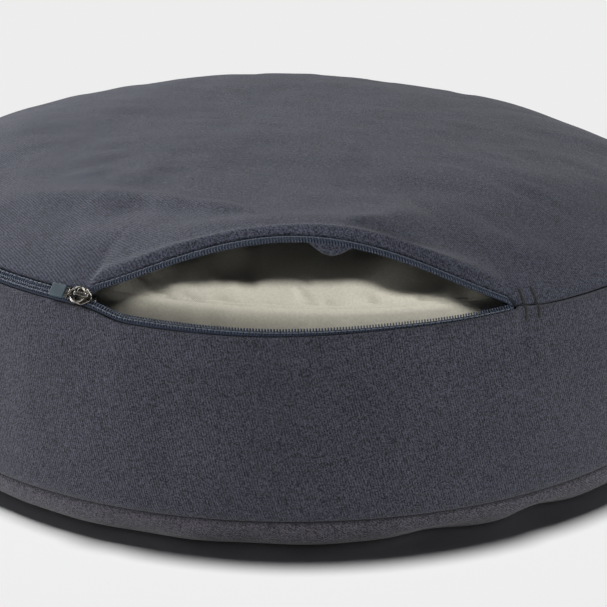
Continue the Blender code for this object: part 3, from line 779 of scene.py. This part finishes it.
def cover_bottom():
    """The bottom panel: rolled in at its seam, curling under to where it lies flat."""
    foot = BOTTOM_SEAM_HEIGHT - PLAIN_EDGE
    curl = 14.0 * MM
    rows, travel = [], []
    for depth in (1.0, 0.5, 0.0):
        rows.append(turned_point(ANGLES, BOTTOM_SEAM_RADIUS - ROLL - (ALLOWANCE - ROLL) * depth, foot))
        travel.append(-ALLOWANCE * depth)
    for turn in np.radians([60, 30, 0]):
        radius = BOTTOM_SEAM_RADIUS - 0.2 * MM - ROLL * (1 - math.cos(turn))
        rows.append(turned_point(ANGLES, radius, foot - ROLL * (1 - math.sin(turn))))
        travel.append(ROLL * (math.pi / 2 - turn))
    top = foot - ROLL
    for turn in np.radians(np.linspace(6, 90, 15)):
        uneven = 1.1 * MM * ripple_round(ANGLES, 17, 31) * math.sin(2 * min(turn, math.pi / 4))
        radius = BOTTOM_SEAM_RADIUS - 0.2 * MM - curl + curl * math.cos(turn) + uneven * math.cos(turn)
        radius = radius - under_dents(ANGLES) * smooth((math.degrees(turn) - 12) / 36)
        rows.append(turned_point(ANGLES, radius, top * (1 - math.sin(turn))))
        travel.append(ROLL * 1.57 + curl * turn)
    flat = BOTTOM_SEAM_RADIUS - 0.2 * MM - curl
    for share in (0.93, 0.8, 0.6, 0.4, 0.2, 0.0):
        rows.append(turned_point(ANGLES, flat * share, 0.0))
        travel.append(ROLL * 1.57 + curl * 1.57 + flat * (1 - share))
    points = np.array(rows)[::-1]
    reach = BOTTOM_SEAM_RADIUS + 0.02 - np.array(travel)[::-1]
    weave = np.stack(np.broadcast_arrays(ANGLES[None, :] * BOTTOM_SEAM_RADIUS, reach[:, None]), -1)
    mesh = grid_mesh("cover_bottom_cloth", points, True, weave, pole=True)
    mesh.flip_normals()
    obj = thicken(link("cover_bottom_cloth", mesh, UNDER_TWILL_PAINTED_LIGHTER), FABRIC)
    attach(obj, "cover")
    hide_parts("cover_bottom_panel")


# Liner ----------------------------------------------------------------------------------------


LINER_CLEARANCE = 2.3 * MM
LINER_RELIEF = 0.9 * MM


def under_closed_cover(row, relief):
    """A ring of the liner's top, kept below where the cover's panel lies once the zip is closed."""
    radius = np.hypot(row[:, 0], row[:, 1])
    shut = dome(radius, TOP_SEAM_RADIUS, DOME_HEIGHT) + panel_undulation(row[:, 0], row[:, 1])
    shut = shut - lip_hollow(ANGLES, TOP_SEAM_RADIUS - radius) - LINER_CLEARANCE
    shut = shut + np.minimum(relief - LINER_RELIEF, 0)
    return -MM * np.log(np.exp(-row[:, 2] / MM) + np.exp(-shut / MM))


def liner_top():
    """The inner cushion's top, puckered along its seam and softly creased."""
    shares = 1 - (1 - np.linspace(0, 1, 64)) ** 1.4
    seam = LINER_RADIUS - 0.05 * MM
    rows, plain, reliefs = [], [], []
    for share in shares:
        radius = seam * share
        z = LINER_SEAM_RISE - 0.1 * MM + dome(radius, LINER_RADIUS, LINER_DOME)
        point = turned_point(ANGLES, radius, z)
        gather = math.exp(-((1 - share) * seam) / (16 * MM)) * smooth((1 - share) * seam / (2 * MM))
        crease = 0.8 * MM * ripple_round(ANGLES, 60, 41) * gather
        crease += 1.0 * MM * ripple(point[:, 0], point[:, 1], 40 * MM, 42) * smooth((1 - share) * 6)
        plain.append(point.copy())
        point[:, 2] += crease
        reliefs.append(crease)
        rows.append(point)
    rises = creases(LINER_CLOTH, np.array(plain) - np.array([0, 0, LINER_SEAM_RISE]), 3.0 * MM)
    for row, rise, relief, share in zip(rows, rises, reliefs, shares):
        rise = rise * smooth((1 - share) * seam / (6 * MM))
        row[:, 2] += rise
        row[:, 2] = under_closed_cover(row, relief + rise)
    for depth in (0.3, 1.0):
        rows.append(turned_point(ANGLES, LINER_RADIUS - ALLOWANCE * depth, LINER_SEAM_RISE + 0.55 * MM))
    points = to_world(np.array(rows))
    mesh = grid_mesh("liner_top_cloth", points, True, points[..., :2].copy(), pole=True)
    mesh.set_sharp_from_angle(angle=math.radians(60))
    obj = thicken(link("liner_top_cloth", mesh, COTTON), 0.5 * MM)
    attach(obj, "cover")
    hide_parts("liner_top_panel", "fill_core")


def liner_band():
    """The inner cushion's side, which shows as a narrow strip below its seam."""
    top, foot = SEAM_CENTRE.z + LINER_SEAM_RISE - 0.02 * MM, LINER_FOOT_HEIGHT
    rows, travel = [], []
    for depth in (1.0, 0.4):
        rows.append(turned_point(ANGLES, LINER_RADIUS - ALLOWANCE * depth, top))
        travel.append(-ALLOWANCE * depth)
    for share in np.linspace(0, 1, 40):
        straight = LINER_RADIUS + (LINER_FOOT_RADIUS - LINER_RADIUS) * share
        radius = straight - 0.1 * MM + BAND_BULGE * math.sin(math.pi * share)
        radius += 4.2 * MM * (1 - math.exp(-share / 0.075)) * (1 - share)
        gather = math.exp(-share * (top - foot) / (14 * MM)) * smooth(share * (top - foot) / (8 * MM))
        radius = radius + 0.3 * MM * ripple_round(ANGLES, 60, 43) * gather
        radius = radius + 0.6 * MM * ripple_round(ANGLES, 21, 44) * math.sin(math.pi * share)
        rows.append(turned_point(ANGLES, radius, top + (foot - top) * share))
        travel.append((top - foot) * share)
    points = lean_with_height(np.array(rows))
    weave = np.stack(np.broadcast_arrays(ANGLES[None, :] * LINER_RADIUS, np.array(travel)[:, None]), -1)
    mesh = grid_mesh("liner_band_cloth", points, True, weave)
    mesh.set_sharp_from_angle(angle=math.radians(60))
    obj = thicken(link("liner_band_cloth", mesh, COTTON), 0.5 * MM)
    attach(obj, "cover")
    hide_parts("liner_side_band")


def liner_bottom():
    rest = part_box("liner_bottom_panel")[0].z
    foot = LINER_FOOT_HEIGHT - 0.3 * MM
    curl = 14.0 * MM
    rows = [turned_point(ANGLES, (LINER_FOOT_RADIUS - curl) * share, rest) for share in (0, 0.3, 0.6, 0.9)]
    for turn in np.radians(np.linspace(90, 0, 9)):
        radius = LINER_FOOT_RADIUS - curl + curl * math.cos(turn)
        rows.append(turned_point(ANGLES, radius, foot - (foot - rest) * math.sin(turn)))
    points = np.array(rows)
    mesh = grid_mesh("liner_bottom_cloth", points, True, points[..., :2].copy(), pole=True)
    mesh.flip_normals()
    obj = thicken(link("liner_bottom_cloth", mesh, COTTON), 0.5 * MM)
    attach(obj, "cover")
    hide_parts("liner_bottom_panel")


# Zip ------------------------------------------------------------------------------------------

TOOTH_PITCH = 1.26 * MM
FILAMENT = 0.27 * MM
COIL_REACH = (1.0 * MM, 1.35 * MM)
COIL_RISE = 0.72 * MM


def tube_mesh(name, centre, side_a, side_b, radii, sides=6):
    """A closed-ended tube round a line of points; side_a and side_b span its section."""
    turns = np.arange(sides) * math.tau / sides
    ring = np.cos(turns)[None, :, None] * side_a[:, None, :] + np.sin(turns)[None, :, None] * side_b[:, None, :]
    points = centre[:, None, :] + ring * np.broadcast_to(radii, len(centre))[:, None, None]
    rows = len(centre)
    index = np.arange(rows * sides).reshape(rows, sides)
    ahead = np.roll(index, -1, axis=1)
    faces = np.stack([index[:-1], ahead[:-1], ahead[1:], index[1:]], -1).reshape(-1, 4).tolist()
    faces += [index[0][::-1].tolist(), index[-1].tolist()]
    mesh = bpy.data.meshes.new(name)
    mesh.from_pydata(points.reshape(-1, 3).tolist(), [], faces)
    mesh.shade_smooth()
    return mesh, np.repeat(np.arange(rows), sides)


def tube_along(name, centre, radii, sides=6):
    """A tube round any smooth line."""
    along = np.gradient(centre, axis=0)
    along /= np.linalg.norm(along, axis=1)[:, None] + 1e-12
    guide = np.array([0.31, 0.22, 0.92])
    side_a = np.cross(along, guide)
    side_a /= np.linalg.norm(side_a, axis=1)[:, None] + 1e-12
    return tube_mesh(name, centre, side_a, np.cross(along, side_a), radii, sides)


def coil(name, side, nodes):
    """The nylon coil of one side: a flattened helix with one turn to each tooth."""
    length = (COIL_END - ZIP_START) * TOP_SEAM_RADIUS
    turns = int(length / TOOTH_PITCH)
    phase = np.linspace(0, turns * math.tau, turns * 12 + 1)
    shift = 0.0 if side > 0 else 0.5
    angle = ZIP_START + (phase / math.tau + shift) * TOOTH_PITCH / TOP_SEAM_RADIUS
    s = side * (COIL_REACH[0] + COIL_REACH[1] * np.cos(phase))
    flat = np.sign(np.sin(phase)) * np.abs(np.sin(phase)) ** 0.6
    local = beside_seam(angle, s, 0.05 * MM + COIL_RISE * flat)
    shares = lip_share(angle) if side > 0 else sag_share(angle)
    local = local + shares[:, None] * LIFT
    head = 1 + 0.25 * (np.cos(phase) < -0.6)
    mesh, source = tube_along(name, to_world(local), FILAMENT * head, 5)
    obj = link(name, mesh, COIL_NYLON)
    with_lip(obj)
    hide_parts(*nodes)


def tape(name, side, nodes):
    """The woven tape under one coil, turned in beside the cloth's allowance."""
    angle = np.linspace(ZIP_START, MOUTH_HALF, 361)
    section = [(0.25, -0.95), (1.2, -0.98), (2.0, -0.98), (2.5, -1.0), (2.75, -1.3), (2.8, -2.2), (2.8, -4.4)]
    shares = lip_share(angle) if side > 0 else sag_share(angle)
    rows, travel, went = [], [], 0.0
    for i, (s, n) in enumerate(section):
        local = beside_seam(angle, side * s * MM, n * MM) + shares[:, None] * LIFT
        rows.append(to_world(local))
        if i:
            went += math.dist(section[i - 1], (s, n)) * MM
        travel.append(went)
    points = np.array(rows) if side < 0 else np.array(rows)[::-1]
    weave = np.stack(np.broadcast_arrays(angle[None, :] * TOP_SEAM_RADIUS, np.array(travel)[:, None]), -1)
    mesh = grid_mesh(name, points, False, weave)
    obj = thicken(link(name, mesh, TAPE_CLOTH), 0.2 * MM)
    with_lip(obj)
    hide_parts(*nodes)


def coil_stitches(name, side, nodes):
    """The row of stitches that sews one coil to its tape, a short bar over each tooth."""
    length = (COIL_END - ZIP_START) * TOP_SEAM_RADIUS
    count = int(length / (2 * TOOTH_PITCH))
    points, faces, shares = [], [], []
    phase = np.linspace(0, 1, 5)
    for i in range(count):
        start = ZIP_START + (2 * i + 0.15) * TOOTH_PITCH / TOP_SEAM_RADIUS
        angle = start + phase * 1.85 * TOOTH_PITCH / TOP_SEAM_RADIUS
        rise = (0.95 + 0.12 * np.sin(math.pi * phase)) * MM
        share = lip_share(angle) if side > 0 else sag_share(angle)
        line = to_world(beside_seam(angle, side * 1.75 * MM, rise) + share[:, None] * LIFT)
        mesh, source = tube_along("one", line, 0.30 * MM * np.sin(math.pi * (0.2 + 0.6 * phase)), 6)
        base = len(points)
        points += [v.co.copy() for v in mesh.vertices]
        faces += [[base + v for v in p.vertices] for p in mesh.polygons]
        shares.append(share[source])
        bpy.data.meshes.remove(mesh)
    whole = bpy.data.meshes.new(name)
    whole.from_pydata(points, [], faces)
    whole.shade_smooth()
    obj = link(name, whole, ZIP_YARN)
    with_lip(obj)
    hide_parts(*nodes)


def surface_of(*names):
    """A search tree over the outer faces of the given pieces as they rest."""
    points, faces = [], []
    for name in names:
        mesh = bpy.data.objects[name].data
        base = len(points)
        points += [v.co.copy() for v in mesh.vertices]
        faces += [[base + v for v in p.vertices] for p in mesh.polygons]
    return BVHTree.FromPolygons(points, faces)


def laid_on(tree, line, outward, height):
    """The line's points moved along one direction until they lie on the surface, and then out by height."""
    out = []
    for point in line:
        start = Vector(point) + outward * 0.008
        hit = tree.ray_cast(start, -outward, 0.02)[0]
        out.append(np.array(hit + outward * height if hit else point))
    return np.array(out)


def bar_tacks():
    """Thread bars over the seam just past each end of the zip, each a few strands pulled tight."""
    cloth = surface_of("cover_top_cloth", "cover_band_cloth")
    ends = [("right", MOUTH_HALF, 1), ("left", ZIP_START, -1)]
    for name, end, way in ends:
        for place, step in (("inner", 1.75), ("outer", 3.75)):
            node = f"bar_tack_{name}_{place}"
            angle = end + way * math.radians(step)
            share = np.linspace(0, 1, 25)
            s = np.interp(share, [0, 1], [8.4 * MM, -5.6 * MM])
            outward = TOP_FRAME.to_3x3() @ Vector((math.sin(angle), -math.cos(angle), 1)).normalized()
            whole = []
            for strand in range(3):
                shift = (strand - 1) * 0.38 * MM / TOP_SEAM_RADIUS
                sway = 0.07 * MM * np.sin(share * 47 + strand * 2.1) / TOP_SEAM_RADIUS
                line = to_world(beside_seam(angle + shift + sway, s, 0.0))
                line = laid_on(cloth, line, outward, 0.12 * MM + 0.06 * MM * (strand == 1))
                whole.append(tube_along(f"{node}_strand", line, 0.29 * MM, 6)[0])
            obj = link(f"{node}_stitches", joined(node, whole), DARK_YARN)
            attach(obj, "cover")
            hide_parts(node)


def joined(name, meshes):
    points, faces = [], []
    for mesh in meshes:
        base = len(points)
        points += [v.co.copy() for v in mesh.vertices]
        faces += [[base + v for v in p.vertices] for p in mesh.polygons]
        bpy.data.meshes.remove(mesh)
    whole = bpy.data.meshes.new(name)
    whole.from_pydata(points, [], faces)
    whole.shade_smooth()
    return whole


def hidden_threads():
    """The seam threads lie inside the seams, where the solids already have their shape."""
    for node in ("cover_top_seam_thread", "cover_bottom_seam_thread"):
        repaint(node, DARK_YARN)
    for node in ("liner_top_seam_thread", "liner_bottom_seam_thread"):
        repaint(node, PALE_YARN)


def repaint(node, look):
    obj = frame["nodes"][node]
    for i in range(len(obj.material_slots)):
        obj.material_slots[i].material = look


SEAT = (
    TOP_FRAME
    @ Matrix.Rotation(-MOUTH_HALF, 4, "Z")
    @ Matrix.Translation((0, -TOP_SEAM_RADIUS, 0))
    @ Matrix.Rotation(math.radians(45), 4, "X")
)
RING_RADIUS = 3.5 * MM
RING_WIRE = 0.5 * MM
RING_FRAME = Matrix.Translation(JOINTS["ring_swing"]["pos_m"]) @ SEAT.to_3x3().to_4x4()
TAB_FRAME = Matrix.Translation(JOINTS["tab_swing"]["pos_m"]) @ SEAT.to_3x3().to_4x4()
ON_EDGE = Matrix.Rotation(math.pi / 2, 4, "X")


def rounded(points, radius, steps=5):
    """A closed outline in mm with its corners rounded; radius is one number or one for each corner."""
    corners = [Vector(p) for p in points]
    radii = radius if isinstance(radius, (list, tuple)) else [radius] * len(corners)
    out = []
    for i, corner in enumerate(corners):
        before = corners[i - 1] - corner
        after = corners[(i + 1) % len(corners)] - corner
        reach = min(radii[i], before.length * 0.49, after.length * 0.49)
        first, last = corner + before.normalized() * reach, corner + after.normalized() * reach
        for step in range(steps + 1):
            t = step / steps
            out.append(first * (1 - t) ** 2 + corner * 2 * t * (1 - t) + last * t * t)
    return out


def mirrored(half):
    """A closed outline from the points of its +y half, which run along x."""
    return [(x, -y) for x, y in half] + half[::-1]


def plate(name, outlines, low, high, edge, place, look, slot, body):
    """Flat outlines in mm, the later ones holes, given thickness and rounded edges."""
    curve = bpy.data.curves.new(name, "CURVE")
    curve.dimensions = "2D"
    curve.fill_mode = "BOTH"
    curve.bevel_depth = edge * MM
    curve.offset = -edge * MM
    curve.bevel_resolution = 3
    curve.extrude = ((high - low) / 2 - edge) * MM
    for outline in outlines:
        spline = curve.splines.new("POLY")
        spline.points.add(len(outline) - 1)
        for point, (x, y) in zip(spline.points, outline):
            point.co = (x * MM, y * MM, 0, 1)
        spline.use_cyclic_u = True
    helper = bpy.data.objects.new(name, curve)
    bpy.context.scene.collection.objects.link(helper)
    bpy.context.view_layer.update()
    mesh = bpy.data.meshes.new_from_object(helper.evaluated_get(bpy.context.evaluated_depsgraph_get()))
    bpy.data.objects.remove(helper, do_unlink=True)
    mesh.transform(place @ Matrix.Translation((0, 0, (low + high) / 2 * MM)))
    mesh.shade_smooth()
    mesh.set_sharp_from_angle(angle=math.radians(35))
    obj = link(name, mesh, look)
    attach(obj, body)
    return obj


def slider():
    """The slider's plates, walls, divider and bridge."""
    start = [(-2.7, 2.8), (-1.9, 3.6)]
    wide = mirrored(start + [(0, 3.6), (1.2, 3.9), (2.4, 3.7), (5.6, 1.2)])
    narrow = mirrored(start + [(4.0, 3.6), (5.0, 2.1)])
    args = (SEAT, NICKEL, "dark_nickel", "slider")
    top = plate("slider_top_plate", [rounded(wide, 0.8)], 1.5, 2.4, 0.28, *args)
    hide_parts("zip_slider_body")
    plate("slider_bottom_plate", [rounded(narrow, 0.6)], -3.2, -2.3, 0.25, *args)
    divider = [(2.9, 0.5), (4.2, 0.25), (4.8, 0.25), (4.8, 1.1), (3.4, 1.1)]
    plate("slider_divider", [rounded(divider, 0.1)], -2.6, 1.8, 0.08, *args)
    for side, name in ((-1, "left"), (1, "right")):
        wall = [(-2.1, side * 3.0), (-0.1, side * 3.0), (-0.1, side * 3.55), (-2.1, side * 3.55)]
        plate(f"slider_wall_{name}", [rounded(wall[::side], 0.1)], -0.9, 1.8, 0.08, *args)
    arch = [(-2.5, 2.7), (-1.6, 2.7), (-1.6, 4.2), (3.7, 4.2), (3.7, 2.7), (4.6, 2.7), (4.6, 5.0), (-2.5, 5.0)]
    radii = [0.1, 0.1, 0.7, 0.7, 0.1, 0.1, 1.5, 1.5]
    bridge = plate(
        "slider_bridge", [rounded(arch, radii)], -0.8, 0.8, 0.22, SEAT @ ON_EDGE, NICKEL, "dark_nickel", "slider"
    )
    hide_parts("zip_slider_crown")


def pull():
    """The round wire ring, the tab's plate with its rolled end, and the soft grip."""
    turns = np.linspace(0, math.tau, 73)[:-1]
    centre = np.stack([RING_RADIUS * (np.cos(turns) - 1), RING_RADIUS * np.sin(turns), 0 * turns], -1)
    way = np.stack([np.cos(turns), np.sin(turns), 0 * turns], -1)
    up = np.tile([0.0, 0.0, 1.0], (len(turns), 1))
    sides = np.arange(14) * math.tau / 14
    ring = way[:, None] * np.cos(sides)[None, :, None] + up[:, None] * np.sin(sides)[None, :, None]
    points = centre[:, None] + RING_WIRE * ring
    index = np.arange(len(turns) * 14).reshape(-1, 14)
    ahead, over = np.roll(index, -1, axis=0), np.roll(index, -1, axis=1)
    both = np.roll(ahead, -1, axis=1)
    mesh = bpy.data.meshes.new("pull_ring_wire")
    faces = np.stack([index, ahead, both, over], -1).reshape(-1, 4)
    mesh.from_pydata(points.reshape(-1, 3).tolist(), [], faces.tolist())
    mesh.shade_smooth()
    mesh.transform(RING_FRAME)
    wire = link("pull_ring_wire", mesh, NICKEL)
    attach(wire, "pull_ring")
    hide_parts("pull_ring")
    args = (NICKEL, "dark_nickel", "pull_tab")
    body = [(-8.9, 2.4), (-1.2, 2.4), (-1.0, 1.1), (-0.7, 1.1)]
    outline = rounded(mirrored(body), [0.3, 0.7, 0.15, 0.1, 0.1, 0.15, 0.7, 0.3])
    tab = plate("tab_plate", [outline], -0.45, 0.45, 0.16, TAB_FRAME, *args)
    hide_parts("pull_tab_plate")
    circle = [(math.cos(a), math.sin(a)) for a in np.linspace(0, math.tau, 33)[:-1]]
    roll = [[(1.3 * x, 1.3 * y) for x, y in circle], [(0.85 * x, 0.85 * y) for x, y in circle[::-1]]]
    plate("tab_roll", roll, -1.1, 1.1, 0.12, TAB_FRAME @ ON_EDGE, *args)
    grip = mirrored([(-10.1, 2.9), (-2.7, 2.9)])
    soft = plate(
        "tab_grip", [rounded(grip, [0.5, 1.1, 1.1, 0.5], 6)], -1.15, 1.15, 0.5, TAB_FRAME, RUBBER, "slate_rubber", "pull_tab"
    )
    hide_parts("pull_tab_grip")


# Stage ----------------------------------------------------------------------------------------

CAMERA_DISTANCE = 1.1166
CAMERA_ELEVATION = math.radians(19.19)
CAMERA_ROLL = math.radians(-0.46)
LENS = 130.5
AIM_SHIFT = (2.5 * MM, -15.1 * MM)
AIM_HEIGHT = 59 * MM


def camera():
    back = Vector((0, -math.cos(CAMERA_ELEVATION), math.sin(CAMERA_ELEVATION)))
    target = Vector((0, 0, AIM_HEIGHT))
    right, up = Vector((1, 0, 0)), back.cross(Vector((1, 0, 0)))
    place = target + back * CAMERA_DISTANCE
    aim = target + right * AIM_SHIFT[0] + up * AIM_SHIFT[1]
    look = (place - aim).normalized()
    right = up.cross(look).normalized()
    up = look.cross(right)
    turn = Matrix((right, up, look)).transposed() @ Matrix.Rotation(CAMERA_ROLL, 3, "Z")
    data = bpy.data.cameras.new("camera")
    data.lens = LENS
    data.sensor_width = 36
    obj = bpy.data.objects.new("camera", data)
    obj.matrix_world = Matrix.Translation(place) @ turn.to_4x4()
    bpy.context.scene.collection.objects.link(obj)
    bpy.context.scene.camera = obj


def only_for(light, name, pieces, include):
    """Lets a light fall only on these pieces, or on everything but them."""
    group = bpy.data.collections.new(name)
    for piece in pieces:
        group.objects.link(piece)
    for item in group.collection_objects:
        item.light_linking.link_state = "INCLUDE" if include else "EXCLUDE"
    light.light_linking.receiver_collection = group


def area_light(name, place, aim, size, power, pieces, include=False):
    data = bpy.data.lights.new(name, "AREA")
    data.shape = "RECTANGLE"
    data.size, data.size_y = size
    data.energy = power
    obj = bpy.data.objects.new(name, data)
    obj.location = place
    obj.rotation_euler = (Vector(aim) - Vector(place)).to_track_quat("-Z", "Y").to_euler()
    bpy.context.scene.collection.objects.link(obj)
    only_for(obj, name + "_pieces", pieces, include)


def stage():
    mesh = bpy.data.meshes.new("floor")
    half = 6.0
    mesh.from_pydata([(-half, -half, 0), (half, -half, 0), (half, half, 0), (-half, half, 0)], [], [(0, 1, 2, 3)])
    floor = bpy.data.objects.new("floor", mesh)
    bpy.context.scene.collection.objects.link(floor)
    nodes = Nodes("pale_floor")
    mesh.materials.append(nodes.finish(Base_Color=(0.86, 0.86, 0.86, 1.0), Roughness=0.9, Specular_IOR_Level=0.0))
    world = bpy.data.worlds.new("studio")
    world.use_nodes = True
    world.node_tree.nodes["Background"].inputs[0].default_value = (1.0, 1.0, 1.0, 1.0)
    world.node_tree.nodes["Background"].inputs[1].default_value = AMBIENT
    bpy.context.scene.world = world
    data = bpy.data.lights.new("sun", "SUN")
    data.energy = (0.847 / 0.86 - AMBIENT) * math.pi / math.cos(SUN_TILT)
    data.angle = SUN_SPREAD
    sun = bpy.data.objects.new("sun", data)
    sun.rotation_euler = (-SUN_TILT, 0, SUN_TURN)
    bpy.context.scene.collection.objects.link(sun)
    only_for(sun, "sun_reaches", [floor], True)
    inside = [obj for obj in bpy.context.scene.objects if obj.name.startswith("liner_") and obj.type == "MESH"]
    cover_only = [floor] + inside
    area_light("overhead", (-0.35, -0.02, 1.25), (0, -0.03, 0.1), (0.45, 0.3), 8.8, cover_only)
    area_light("behind", (-1.3, 1.5, 1.0), (0, 0.05, 0.1), (1.2, 0.8), 38, cover_only)
    area_light("left", (-2.2, -0.2, 0.35), (0, 0, 0.05), (0.9, 0.6), 36, cover_only)
    area_light("right", (2.2, -0.4, 0.3), (0, 0, 0.05), (0.9, 0.6), 24, cover_only)
    area_light("front", (0, -2.3, 0.35), (0, 0, 0.06), (1.6, 0.6), 15, cover_only)
    area_light("opening", (0.8, -0.36, 1.75), (0, -0.15, 0.1), (0.5, 0.5), 27, inside, True)
    bpy.context.scene.view_settings.view_transform = "Standard"


AMBIENT = 0.008
SUN_TILT = math.radians(10)
SUN_SPREAD = math.radians(9)
SUN_TURN = math.radians(26)


cover_top()
cover_band()
cover_bottom()
liner_top()
liner_band()
liner_bottom()
tape("zip_tape_upper", 1, ["zip_tape_upper_closed", "zip_tape_upper_mouth"])
tape("zip_tape_lower_cloth", -1, ["zip_tape_lower"])
coil("zip_coil_upper", 1, ["zip_coil_upper_closed", "zip_coil_upper_mouth"])
coil("zip_coil_lower_turns", -1, ["zip_coil_lower"])
coil_stitches("zip_stitches_upper", 1, ["zip_thread_upper_closed", "zip_thread_upper_mouth"])
coil_stitches("zip_stitches_lower", -1, ["zip_thread_lower"])
bar_tacks()
hidden_threads()
slider()
pull()
camera()
stage()
